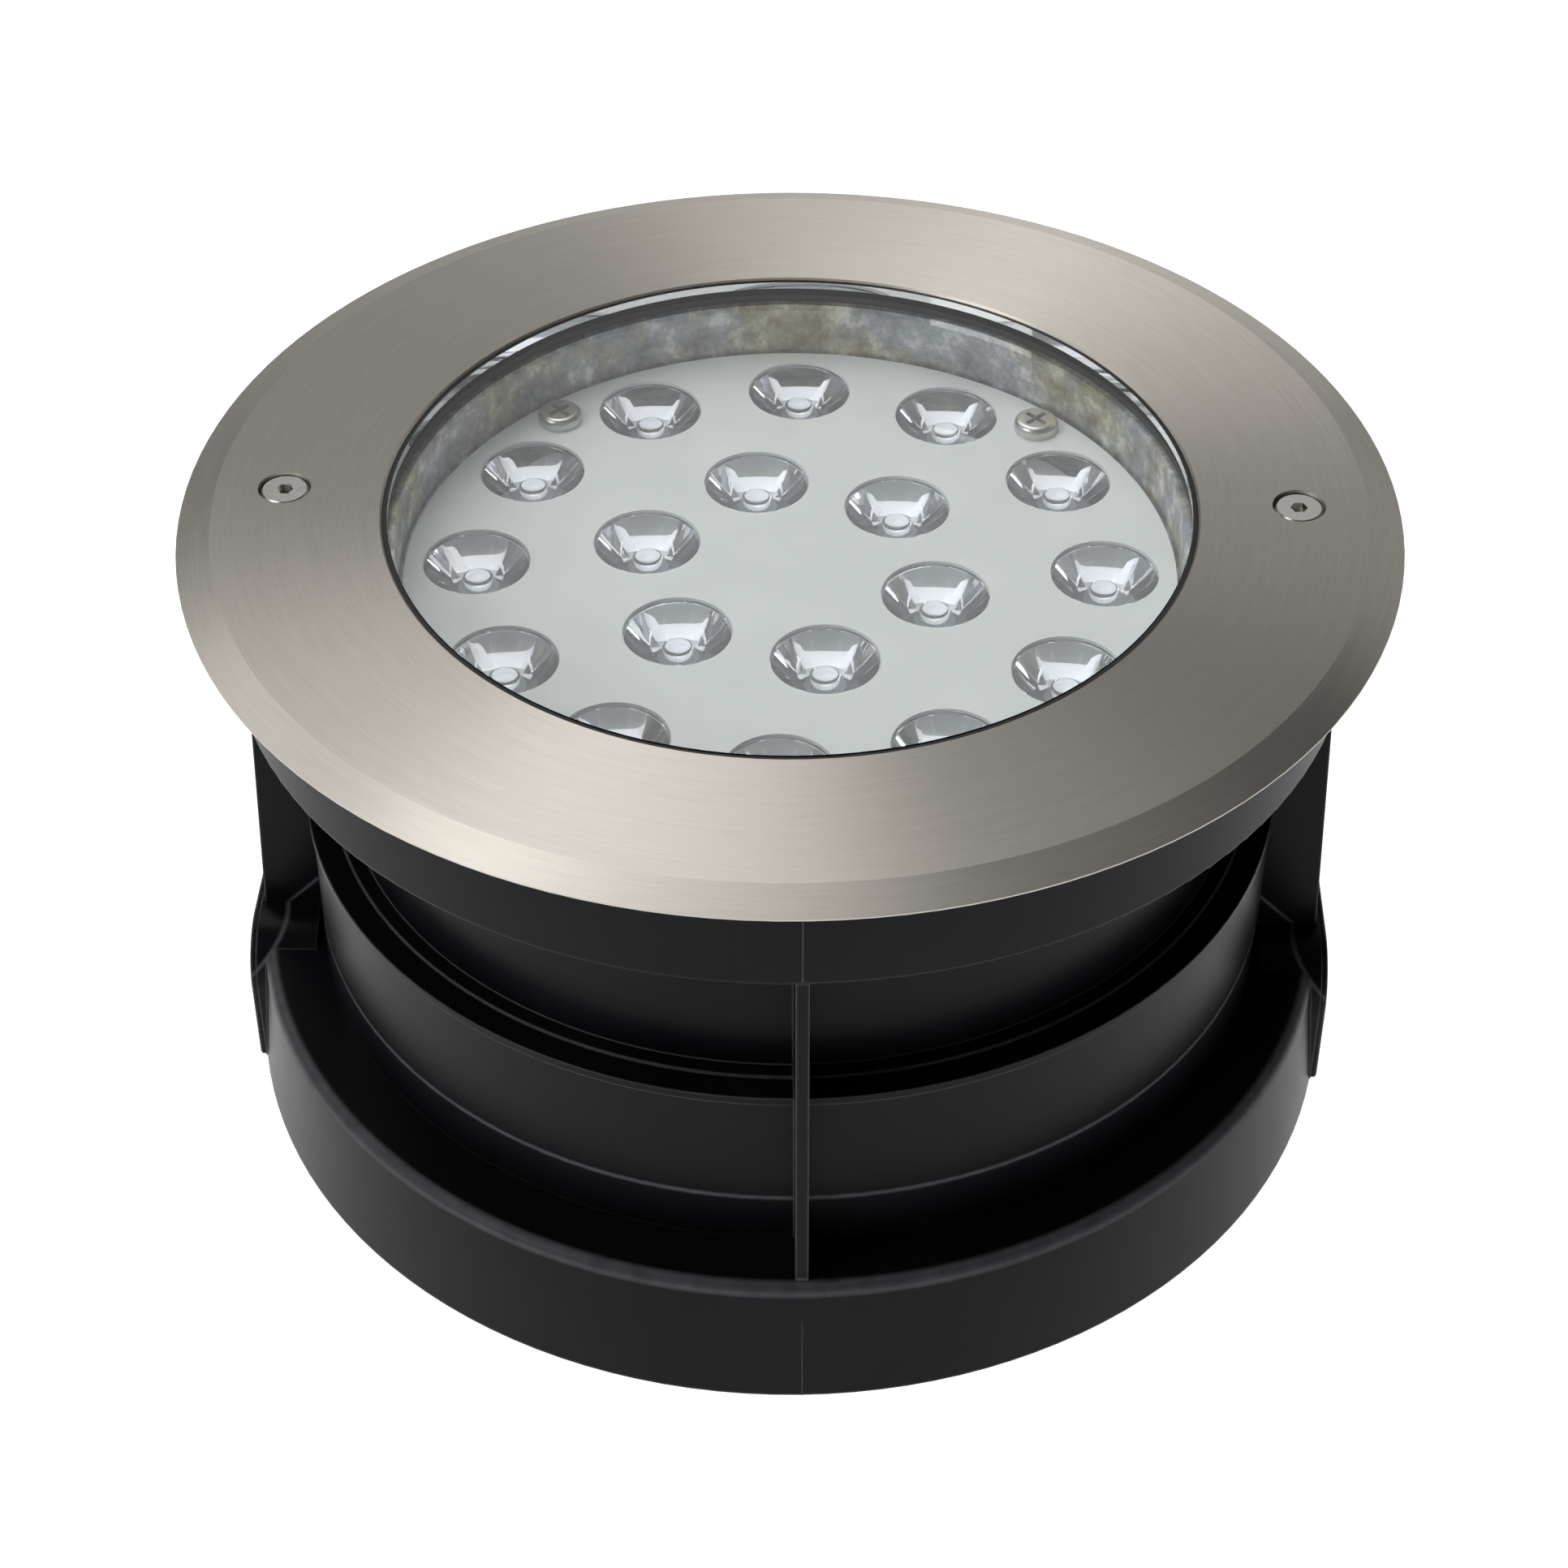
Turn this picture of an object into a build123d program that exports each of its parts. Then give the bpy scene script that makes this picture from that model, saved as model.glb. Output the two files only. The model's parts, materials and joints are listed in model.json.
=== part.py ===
from build123d import *
from math import cos, radians, sin, sqrt
import os

# In-ground well light: a round recessed uplight in the sleeve that is buried with it.
#
# Millimetres, +Z up. The origin is the centre of the sleeve's underside, where it stands
# on its gravel bed. +X runs through the right trim screw, -Y points to the front.
# Two screws in the trim ring hold the lamp in the sleeve. Without them it lifts straight out.

os.makedirs("parts", exist_ok=True)

# ---------------------------------------------------------------- driving dimensions

# Clearances
thread_gap = 0.05           # radial play of a plain modelled thread in its tapped hole
snug = 0.1                  # play of pieces that are clamped or pushed together
bolt_gap = 0.25             # radial play of a screw in its through hole
flange_gap = 1.4            # lamp flange to the inside of the sleeve's collar
lamp_gap = 2.9              # lamp fins to the sleeve's upper bore
plate_gap = 0.8             # cover plate to the bare wall of the lamp body
lens_gap = 0.3              # lens rim to its hole in the cover plate
boss_gap = 0.5              # screw boss to the retaining washer above it
bite = 1.0                  # depth to which forms of one casting run into each other, and
                            # the overrun of a cut past the face that it opens

# Trim ring
trim_radius = 120.0
trim_width = 39.95          # from the outer edge in to the window
trim_thickness = 2.8
trim_edge = 0.3             # upright rim below the bevel
trim_bevel = 6.6
trim_overhang = 8.5         # beyond the sleeve's collar
trim_inner_chamfer = 0.4
relief_start = 0.3          # groove that parts the seat on the ground from the seat on the collar
relief_width = 1.7
relief_depth = 0.6

# Sleeve
sleeve_height = 130.5
sleeve_wall = 2.6
collar_depth = 23.5
collar_width = 19.5         # collar to upper wall
collar_round = 0.8
step_height = 67.5
step_width = 8.0            # upper wall to lower wall
bead_height = 1.8
bead_proud = 0.6
tread_height = 0.5          # raised inner tread on the step
tread_width = 3.2
ledge_height = 28.5
ledge_width = 13.0          # lower wall to the lip
lip_round = 3.0
skirt_flare = 2.5           # lip to base
rib_thickness = 2.5
rib_inset = 0.5             # rib's edge inside the collar
rib_azimuth = -87.0         # front rib, and its twin opposite
column_width = 21.0
column_wall = 2.4
column_foot_inset = 0.6     # column's foot inside the side face
column_lean = 3.2           # its outer face leans in from the foot to the collar
side_inset = 2.5            # column face inside the base radius
gusset_count = 12
gusset_thickness = 2.2
gusset_foot = 8.0           # lowest point of a gusset

# Conduit entries
entry_half_width = 25.0
entry_height = 32.0
entry_corner = 12.0
entry_thickness = 1.2
entry_chamfer = 0.4
entry_lift = 0.5            # flange edge above the ground
entry_wall = 3.0            # flat wall of the sleeve behind the flange
conduit_radius = 10.2
conduit_height = 14.0
spigot_wall = 1.4
spigot_length = 8.0

# Trim screws and their inserts
screw_inset = 9.1           # screw axis from the inside of the collar
screw_radius = 2.5
screw_length = 16.0
screw_head_radius = 4.75
screw_head_height = 3.3
screw_head_chamfer = 0.4
screw_tip_chamfer = 0.5
screw_socket = 3.0
screw_socket_depth = 2.0
screw_sunk = 0.4            # head below the ring's top
recess_play = 0.5
seal_thickness = 0.6
retainer_thickness = 1.0
retainer_radius = 4.6
boss_radius = 7.0
insert_wall = 1.0
insert_length = 10.0

# Studs that join ring and lamp body
stud_count = 8
stud_start = 22.5
stud_inset = 1.8            # stud circle inside the trim-screw circle
stud_radius = 2.0
stud_tip = 1.0
washer_radius = 4.5
washer_thickness = 0.8
nut_width = 7.0
nut_height = 3.2

# Glass and its gasket
glass_thickness = 8.0
glass_recess = 0.3
glass_foot_width = 7.0      # stepped foot beyond the window face
gasket_lip = 0.85
gasket_cap = 1.1
gasket_wall = 1.9
gasket_floor = 1.5
gasket_shelf = 1.5          # bare wall showing inside the gasket

# Lamp body
flange_thickness = 5.0
shoulder_wall = 3.35
shoulder_depth = 5.5
shoulder_cone = 6.0
body_wall = 3.4
cavity_inset = 2.05         # inner wall inside the window edge
floor_thickness = 4.0
fin_count = 24
fin_thickness = 2.2
fin_slope_width = 16.0
fin_slope_height = 14.0
bay_radius = 44.5           # driver bay
bay_wall = 3.5
bay_depth = 35.0
bay_flange = 5.0

# Light unit
plate_drop = 21.6           # cover plate below the ring's top
plate_thickness = 1.5
plate_margin = 3.6          # between the outer holes and the plate's edge
lens_hole = 10.8
outer_count = 12
inner_count = 6
inner_start = 45.0
inner_gap = 8.5             # between neighbours on the inner ring
lens_sink = 0.3
lens_height = 12.2
lens_rim = 1.6
lens_foot_radius = 5.2
lens_pocket_radius = 3.3
lens_pocket_depth = 4.6
lens_pocket_crown = 1.2     # the pocket's ceiling swells down towards the emitter
lens_rim_step = 0.2         # rim proud of the bowl
lens_swell = 0.15           # how far the bowl's side bows out, as a share of its width
board_thickness = 1.6
board_margin = 2.0
pad_thickness = 0.5
chip_width = 3.4
chip_height = 0.8
die_radius = 1.2
die_height = 0.5

# Cover-plate screws and standoffs
plate_screw_count = 4
plate_screw_start = 45.0
plate_screw_inset = 6.2     # from the plate's edge
plate_screw_radius = 2.5
plate_screw_length = 8.0
plate_head_radius = 4.6
plate_head_height = 2.6
plate_head_round = 1.3
cross_length = 5.4
cross_width = 1.1
cross_depth = 1.5
cross_taper = 12.0
standoff_width = 8.0
standoff_pin_radius = 2.0
standoff_pin_length = 3.0

# Board screws
board_screw_count = 3
board_screw_start = 75.0
board_screw_circle = 47.0
small_screw_radius = 1.5
small_head_radius = 2.8
small_head_height = 2.0
small_screw_grip = 2.5      # thread held in the floor

# Driver, bracket and terminals
driver_length = 58.0
driver_width = 34.0
driver_height = 24.0
driver_round = 2.0
driver_chamfer = 1.0
bracket_thickness = 1.5
bracket_length = 74.0
bracket_width = 28.0
bracket_tab_width = 16.0
bracket_tab_depth = 10.0
bracket_screw_inset = 3.5
block_length = 30.0
block_width = 14.0
block_height = 12.0
block_gap = 1.5
block_ways = 3
block_pitch = 9.0
block_hole = 1.7
block_row = 7.0             # between the two rows of screw wells
block_web = 1.0             # between a screw well and the wire way

# Leads from driver to board
lead_radius = 0.9
lead_spacing = 2.6
lead_hole = 3.5
lead_circle = 40.0
lead_azimuth = 15.0
lead_drop = 12.0            # lead exit below the bay's ceiling
lead_bend = 3.0
lead_tail = 6.5
solder_height = 0.4
solder_length = 3.0

# Bay cover, its seal and screws
cover_thickness = 3.0
cover_spigot_height = 3.0
cover_spigot_wall = 2.5
cover_screw_count = 6
cover_screw_start = 30.0
cover_screw_radius = 2.0
cover_screw_length = 12.0
cover_head_radius = 3.9
cover_head_height = 2.4
cover_socket_depth = 1.4
cover_boss_radius = 4.2
cover_boss_height = 13.0
cover_margin = 0.6          # cover's edge outside the screw bosses
cover_chamfer = 0.75
cover_land = 1.0            # between the seal's groove and the cover screws
seal_half = 0.9             # half the side of the cover seal's square section
seal_groove_play = 0.2

# Cable gland
gland_thread_radius = 10.0
gland_hex = 24.0
gland_hex_height = 5.0
gland_bore = 6.6
gland_tail_radius = 9.0
gland_tail_length = 9.0
gland_tip = 1.0             # thread beyond the locknut
locknut_height = 4.0
cable_radius = 4.0
gland_seal_start = 2.5      # seal below the hexagon
dome_hex = 22.0
dome_height = 16.0
dome_mouth = 6.0
dome_lip = 2.0
dome_round = 2.5

# Vent plug
vent_offset = 30.0
vent_thread_radius = 6.0
vent_thread_length = 7.0
vent_head_radius = 8.0
vent_head_height = 4.0
vent_chamfer = 1.0
vent_hole_radius = 0.8
vent_hole_circle = 4.0
vent_hole_count = 4
vent_hole_depth = 2.0

# ---------------------------------------------------------------- derived places

# Radii from the trim ring inwards
window_radius = trim_radius - trim_width
collar_radius = trim_radius - trim_overhang
collar_inner = collar_radius - sleeve_wall
upper_radius = collar_radius - collar_width
upper_inner = upper_radius - sleeve_wall
lower_radius = upper_radius + step_width
lower_inner = lower_radius - sleeve_wall
lip_radius = lower_radius + ledge_width
base_radius = lip_radius + skirt_flare
side_face = base_radius - side_inset
screw_circle = collar_inner - screw_inset
stud_circle = screw_circle - stud_inset
flange_radius = collar_inner - flange_gap
fin_radius = upper_inner - lamp_gap
glass_radius = window_radius - gasket_lip - 2 * snug
glass_foot = glass_radius + glass_foot_width
seat_radius = glass_foot + gasket_wall + 2 * snug
shoulder_radius = seat_radius + shoulder_wall
cavity_radius = window_radius - cavity_inset
body_radius = cavity_radius + body_wall
plate_radius = cavity_radius - plate_gap
outer_circle = plate_radius - plate_margin - lens_hole
inner_circle = 2 * lens_hole + inner_gap
lens_radius = lens_hole - lens_gap
plate_screw_circle = plate_radius - plate_screw_inset
board_radius = plate_screw_circle - board_margin
pad_radius = plate_screw_circle - standoff_width / sqrt(3) - snug
bay_outer = bay_radius + bay_wall
seal_circle = bay_radius + bay_wall
cover_screw_circle = seal_circle + seal_half + seal_groove_play + cover_land + cover_screw_radius
cover_radius = cover_screw_circle + cover_boss_radius + cover_margin

# Heights
rim = sleeve_height
trim_top = rim + trim_thickness
collar_bottom = rim - collar_depth
collar_floor = collar_bottom + sleeve_wall
ledge_under = ledge_height - sleeve_wall
flange_bottom = rim - flange_thickness
glass_top = trim_top - glass_recess
glass_step = rim - gasket_cap
glass_bottom = glass_top - glass_thickness
seat_height = glass_bottom - gasket_floor
shoulder_bottom = seat_height - shoulder_depth
plate_top = trim_top - plate_drop
plate_bottom = plate_top - plate_thickness
lens_top = plate_top - lens_sink
board_top = lens_top - lens_height
board_bottom = board_top - board_thickness
floor_top = board_bottom - pad_thickness
floor_bottom = floor_top - floor_thickness
cover_top = floor_bottom - bay_depth
cover_bottom = cover_top - cover_thickness
screw_top = trim_top - screw_sunk
screw_seat = screw_top - screw_head_height
seal_seat = screw_seat - seal_thickness
boss_top = flange_bottom - retainer_thickness - boss_gap
insert_bottom = boss_top - insert_length
screw_tip = screw_seat - screw_length
bracket_bottom = floor_bottom - bracket_thickness
gland_hex_bottom = cover_bottom - gland_hex_height
gland_tail_bottom = gland_hex_bottom - gland_tail_length
dome_top = gland_hex_bottom - snug
dome_bottom = dome_top - dome_height

screw_places = PolarLocations(screw_circle, 2)
stud_places = PolarLocations(stud_circle, stud_count, start_angle=stud_start)
outer_places = PolarLocations(outer_circle, outer_count)
inner_places = PolarLocations(inner_circle, inner_count, start_angle=inner_start)
plate_screw_places = PolarLocations(plate_screw_circle, plate_screw_count, start_angle=plate_screw_start)
board_screw_places = PolarLocations(board_screw_circle, board_screw_count, start_angle=board_screw_start)
cover_screw_places = PolarLocations(cover_screw_circle, cover_screw_count, start_angle=cover_screw_start)
bracket_screw_x = bracket_length / 2 - bracket_screw_inset
bracket_screw_places = Locations((bracket_screw_x, 0), (-bracket_screw_x, 0))
lead_x = lead_circle * cos(radians(lead_azimuth))
lead_y = lead_circle * sin(radians(lead_azimuth))


def section(*points):
    """A closed outline of (radius, height) points in the XZ plane, ready to revolve or extrude."""
    with BuildSketch(Plane.XZ) as outline:
        with BuildLine():
            Polyline(*points, close=True)
        make_face()
    return outline.sketch


def ring_section(inner, outer, low, high):
    """The rectangular section of a plain ring."""
    return section((inner, low), (outer, low), (outer, high), (inner, high))


def skirt_inner(height):
    """Inside radius of the flared skirt at a height."""
    flare = skirt_flare * (1 - height / ledge_height)
    return lip_radius + flare - sleeve_wall


def entry_arch(plane, low):
    """The flat arch round a conduit entry, drawn on an upright plane square to X."""
    with BuildSketch(plane) as arch:
        with BuildLine():
            Polyline(
                (-entry_half_width, low),
                (entry_half_width, low),
                (entry_half_width, entry_height),
                (-entry_half_width, entry_height),
                close=True,
            )
        make_face()
        fillet(arch.vertices().sort_by(Axis.Y)[-2:], entry_corner)
    return arch.sketch


# ---------------------------------------------------------------- sleeve

with BuildSketch(Plane.XZ) as wall_section:
    with BuildLine():
        Polyline(
            (base_radius, 0),
            (lip_radius, ledge_height),
            (lower_radius, ledge_height),
            (lower_radius, step_height - bead_height),
            (lower_radius + bead_proud, step_height - bead_height),
            (lower_radius + bead_proud, step_height),
            (upper_radius + tread_width, step_height),
            (upper_radius + tread_width, step_height + tread_height),
            (upper_radius, step_height + tread_height),
            (upper_radius, collar_bottom),
            (collar_radius, collar_bottom),
            (collar_radius, rim),
            (collar_inner, rim),
            (collar_inner, collar_floor),
            (upper_inner, collar_floor),
            (upper_inner, step_height - sleeve_wall),
            (lower_inner, step_height - sleeve_wall),
            (lower_inner, ledge_under),
            (skirt_inner(ledge_under), ledge_under),
            (skirt_inner(0), 0),
            close=True,
        )
    make_face()
    fillet(wall_section.vertices().sort_by_distance((lip_radius, ledge_height))[0], lip_round)
    fillet(wall_section.vertices().sort_by_distance((collar_radius, collar_bottom))[0], collar_round)

# The hollow that the lamp hangs in, out to the middle of the wall: it trims what stands
# on the wall outside before the wall itself is added
mid_wall = sleeve_wall / 2
hollow_section = section(
    (0, -bite),
    (skirt_inner(0) + mid_wall, -bite),
    (skirt_inner(0) + mid_wall, 0),
    (skirt_inner(ledge_under) + mid_wall, ledge_under + mid_wall),
    (lower_inner + mid_wall, ledge_under + mid_wall),
    (lower_inner + mid_wall, step_height - mid_wall),
    (upper_inner + mid_wall, step_height - mid_wall),
    (upper_inner + mid_wall, rim),
    (0, rim),
)

tongue_radius = lower_inner + mid_wall
gusset_section = section(
    (tongue_radius, ledge_under + bite),
    (skirt_inner(ledge_under) + bite, ledge_under + bite),
    (skirt_inner(gusset_foot) + bite, gusset_foot),
    (skirt_inner(gusset_foot) - bite, gusset_foot),
    (tongue_radius, ledge_under - bite),
)

column_bottom = ledge_height - bite
column_top = collar_bottom + bite
column_foot = side_face - column_foot_inset
column_section = section(
    (upper_inner, column_bottom),
    (column_foot, column_bottom),
    (column_foot - column_lean, column_top),
    (upper_inner, column_top),
)
core_top = collar_bottom - column_wall
core_wide = column_width - 2 * column_wall
core_outer = column_foot - column_lean - column_wall

with BuildPart() as gusset:
    extrude(gusset_section, amount=gusset_thickness / 2, both=True)

with BuildPart() as column:
    extrude(column_section, amount=column_width / 2, both=True)

with BuildPart() as whole_sleeve:
    # Boxed columns under the trim screws, and the raised flats round the conduit entries
    with PolarLocations(0, 2):
        add(column.part)
    for side in (1, -1):
        flat = Plane(origin=(side * side_face, 0, 0), x_dir=(0, side, 0), z_dir=(side, 0, 0))
        extrude(entry_arch(flat, 0), amount=-ledge_width)
    # Thin upright ribs at front and back
    rib_edge = collar_radius - rib_inset
    with PolarLocations((upper_inner + rib_edge) / 2, 2, start_angle=rib_azimuth):
        with Locations((0, 0, (column_bottom + column_top) / 2)):
            Box(rib_edge - upper_inner, rib_thickness, column_top - column_bottom)
    # The columns are cored from beneath
    core_long = core_outer - upper_inner
    for side in (1, -1):
        with Locations((side * (core_outer - core_long / 2), 0, core_top / 2)):
            Box(core_long, core_wide, core_top, mode=Mode.SUBTRACT)
    revolve(hollow_section, axis=Axis.Z, mode=Mode.SUBTRACT)
    revolve(wall_section.sketch, axis=Axis.Z)
    with PolarLocations(0, gusset_count, start_angle=180 / gusset_count):
        add(gusset.part)
    for side in (1, -1):
        mouth_long = core_outer - lower_radius
        with Locations((side * (core_outer - mouth_long / 2), 0, ledge_height - sleeve_wall)):
            Box(mouth_long, core_wide, 2 * sleeve_wall + bite, mode=Mode.SUBTRACT)
        # Flat wall behind each conduit entry, and the skirt trimmed flush with it
        flat = Plane(origin=(side * side_face, 0, 0), x_dir=(0, side, 0), z_dir=(side, 0, 0))
        extrude(entry_arch(flat, 0), amount=-entry_wall)
        extrude(entry_arch(flat, -bite), amount=side_inset + bite, mode=Mode.SUBTRACT)
        with BuildSketch(flat):
            with Locations((0, conduit_height)):
                Circle(conduit_radius + spigot_wall + snug)
        extrude(amount=-ledge_width, mode=Mode.SUBTRACT)
    # Bosses for the screw inserts, webbed to the collar
    with BuildSketch(Plane.XY.offset(collar_floor - bite)):
        with screw_places:
            Circle(boss_radius)
            with Locations((screw_inset / 2, 0)):
                Rectangle(screw_inset + bite, rib_thickness)
    extrude(amount=boss_top - collar_floor + bite)
    with BuildSketch(Plane.XY.offset(boss_top)):
        with screw_places:
            Circle(screw_radius + insert_wall + snug)
    extrude(amount=-insert_length - 2 * bite, mode=Mode.SUBTRACT)

# It is moulded in two. The base has the ledge, the skirt and the raised flats, and the
# upper wall stands on its ledge with a tongue inside it.
with BuildPart() as base_zone:
    for side in (1, -1):
        flat = Plane(origin=(side * side_face, 0, 0), x_dir=(0, side, 0), z_dir=(side, 0, 0))
        extrude(entry_arch(flat, 0), amount=lower_inner - side_face)
    revolve(ring_section(0, lower_radius, ledge_height, entry_height), axis=Axis.Z, mode=Mode.SUBTRACT)
    revolve(ring_section(tongue_radius, base_radius, 0, ledge_height), axis=Axis.Z)
    revolve(ring_section(0, tongue_radius, 0, ledge_height), axis=Axis.Z, mode=Mode.SUBTRACT)

with BuildPart() as mounting_sleeve:
    add(whole_sleeve.part)
    add(base_zone.part, mode=Mode.SUBTRACT)
mounting_sleeve.part.label = "mounting_sleeve"
export_step(mounting_sleeve.part, "parts/mounting_sleeve.step")

with BuildPart() as sleeve_base:
    add(whole_sleeve.part)
    add(base_zone.part, mode=Mode.INTERSECT)
sleeve_base.part.label = "sleeve_base"
export_step(sleeve_base.part, "parts/sleeve_base.step")

for side, side_name in ((-1, "left"), (1, "right")):
    flat = Plane(origin=(side * side_face, 0, 0), x_dir=(0, side, 0), z_dir=(side, 0, 0))
    with BuildPart() as conduit_entry:
        extrude(entry_arch(flat, entry_lift), amount=entry_thickness)
        with BuildSketch(flat):
            with Locations((0, conduit_height)):
                Circle(conduit_radius + spigot_wall)
        extrude(amount=-spigot_length)
        with BuildSketch(flat.offset(entry_thickness)):
            with Locations((0, conduit_height)):
                Circle(conduit_radius)
        extrude(amount=-(entry_thickness + spigot_length), mode=Mode.SUBTRACT)
        outer_rim = conduit_entry.faces().sort_by(Axis.X)[-1 if side > 0 else 0].outer_wire().edges()
        chamfer(outer_rim, entry_chamfer)
    conduit_entry.part.label = f"conduit_entry_{side_name}"
    export_step(conduit_entry.part, f"parts/conduit_entry_{side_name}.step")

with BuildPart() as screw_inserts:
    with BuildSketch(Plane.XY.offset(insert_bottom)):
        with screw_places:
            Circle(screw_radius + insert_wall)
            Circle(screw_radius + thread_gap, mode=Mode.SUBTRACT)
    extrude(amount=insert_length)
screw_inserts.part.label = "screw_inserts"
export_step(screw_inserts.part, "parts/screw_inserts.step")

# ---------------------------------------------------------------- trim ring and its fasteners

stud_length = flange_thickness + washer_thickness + nut_height + stud_tip

with BuildPart() as trim_ring:
    revolve(
        section(
            (window_radius, rim),
            (trim_radius, rim),
            (trim_radius, rim + trim_edge),
            (trim_radius - trim_bevel, trim_top),
            (window_radius, trim_top),
        ),
        axis=Axis.Z,
    )
    with BuildSketch(Plane.XY.offset(rim)):
        with screw_places:
            Circle(screw_head_radius + recess_play)
    extrude(amount=trim_thickness, mode=Mode.SUBTRACT)
    relief_inner = collar_radius + relief_start
    revolve(
        ring_section(relief_inner, relief_inner + relief_width, rim, rim + relief_depth),
        axis=Axis.Z,
        mode=Mode.SUBTRACT,
    )
    window_edges = trim_ring.edges().filter_by(GeomType.CIRCLE).group_by(Axis.Z)[-1]
    chamfer(window_edges.filter_by(lambda edge: abs(edge.radius - window_radius) < snug), trim_inner_chamfer)
trim_ring.part.label = "trim_ring"
export_step(trim_ring.part, "parts/trim_ring.step")

# Studs welded under the ring, which hold the lamp body
with BuildPart() as ring_studs:
    with BuildSketch(Plane.XY.offset(rim)):
        with stud_places:
            Circle(stud_radius)
    extrude(amount=-stud_length)
ring_studs.part.label = "ring_studs"
export_step(ring_studs.part, "parts/ring_studs.step")

for side, side_name in ((-1, "left"), (1, "right")):
    with BuildPart() as trim_screw:
        with BuildSketch(Plane.XY.offset(screw_seat)):
            with Locations((side * screw_circle, 0)):
                Circle(screw_head_radius)
        extrude(amount=screw_head_height)
        chamfer(trim_screw.faces().sort_by(Axis.Z)[-1].edges(), screw_head_chamfer)
        with BuildSketch(Plane.XY.offset(screw_tip)):
            with Locations((side * screw_circle, 0)):
                Circle(screw_radius)
        extrude(amount=screw_length)
        chamfer(trim_screw.faces().sort_by(Axis.Z)[0].edges(), screw_tip_chamfer)
        with BuildSketch(Plane.XY.offset(screw_top)):
            with Locations((side * screw_circle, 0)):
                RegularPolygon(screw_socket / 2, 6, major_radius=False)
        extrude(amount=-screw_socket_depth, mode=Mode.SUBTRACT)
    trim_screw.part.label = f"trim_screw_{side_name}"
    export_step(trim_screw.part, f"parts/trim_screw_{side_name}.step")

with BuildPart() as screw_seals:
    with BuildSketch(Plane.XY.offset(seal_seat)):
        with screw_places:
            Circle(screw_head_radius)
            Circle(screw_radius + bolt_gap, mode=Mode.SUBTRACT)
    extrude(amount=seal_thickness)
screw_seals.part.label = "screw_seals"
export_step(screw_seals.part, "parts/screw_seals.step")

with BuildPart() as screw_retainers:
    with BuildSketch(Plane.XY.offset(flange_bottom - retainer_thickness)):
        with screw_places:
            Circle(retainer_radius)
            Circle(screw_radius + thread_gap, mode=Mode.SUBTRACT)
    extrude(amount=retainer_thickness)
screw_retainers.part.label = "screw_retainers"
export_step(screw_retainers.part, "parts/screw_retainers.step")

washer_bottom = flange_bottom - washer_thickness

with BuildPart() as flange_washers:
    with BuildSketch(Plane.XY.offset(washer_bottom)):
        with stud_places:
            Circle(washer_radius)
            Circle(stud_radius + bolt_gap, mode=Mode.SUBTRACT)
    extrude(amount=washer_thickness)
flange_washers.part.label = "flange_washers"
export_step(flange_washers.part, "parts/flange_washers.step")

with BuildPart() as flange_nuts:
    with BuildSketch(Plane.XY.offset(washer_bottom - nut_height)):
        with stud_places:
            RegularPolygon(nut_width / 2, 6, major_radius=False)
            Circle(stud_radius + thread_gap, mode=Mode.SUBTRACT)
    extrude(amount=nut_height)
flange_nuts.part.label = "flange_nuts"
export_step(flange_nuts.part, "parts/flange_nuts.step")

# ---------------------------------------------------------------- glass and gasket

with BuildPart() as front_glass:
    revolve(
        section(
            (0, glass_bottom),
            (glass_foot, glass_bottom),
            (glass_foot, glass_step),
            (glass_radius, glass_step),
            (glass_radius, glass_top),
            (0, glass_top),
        ),
        axis=Axis.Z,
    )
front_glass.part.label = "front_glass"
export_step(front_glass.part, "parts/front_glass.step")

# One silicone ring: a floor under the glass, a wall round its foot, a cap on the step
# and a lip that shows as a thin line between glass and trim ring
with BuildPart() as glass_gasket:
    revolve(
        section(
            (cavity_radius + gasket_shelf, seat_height),
            (seat_radius - snug, seat_height),
            (seat_radius - snug, rim),
            (window_radius - snug, rim),
            (window_radius - snug, glass_top - glass_recess),
            (glass_radius + snug, glass_top - glass_recess),
            (glass_radius + snug, glass_step),
            (glass_foot + snug, glass_step),
            (glass_foot + snug, glass_bottom),
            (cavity_radius + gasket_shelf, glass_bottom),
        ),
        axis=Axis.Z,
    )
glass_gasket.part.label = "glass_gasket"
export_step(glass_gasket.part, "parts/glass_gasket.step")

# ---------------------------------------------------------------- lamp body

fin_bottom = cover_top + bay_flange
fin_top = shoulder_bottom - shoulder_cone / 2

with BuildPart() as fin:
    extrude(
        section(
            (bay_outer - bite, floor_bottom + bite),
            (bay_outer - bite, fin_bottom - bite),
            (fin_radius - fin_slope_width, fin_bottom - bite),
            (fin_radius, fin_bottom + fin_slope_height),
            (fin_radius, fin_top - fin_radius + body_radius),
            (body_radius, fin_top),
            (body_radius - bite, fin_top),
            (body_radius - bite, floor_bottom + bite),
        ),
        amount=fin_thickness / 2,
        both=True,
    )

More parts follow.
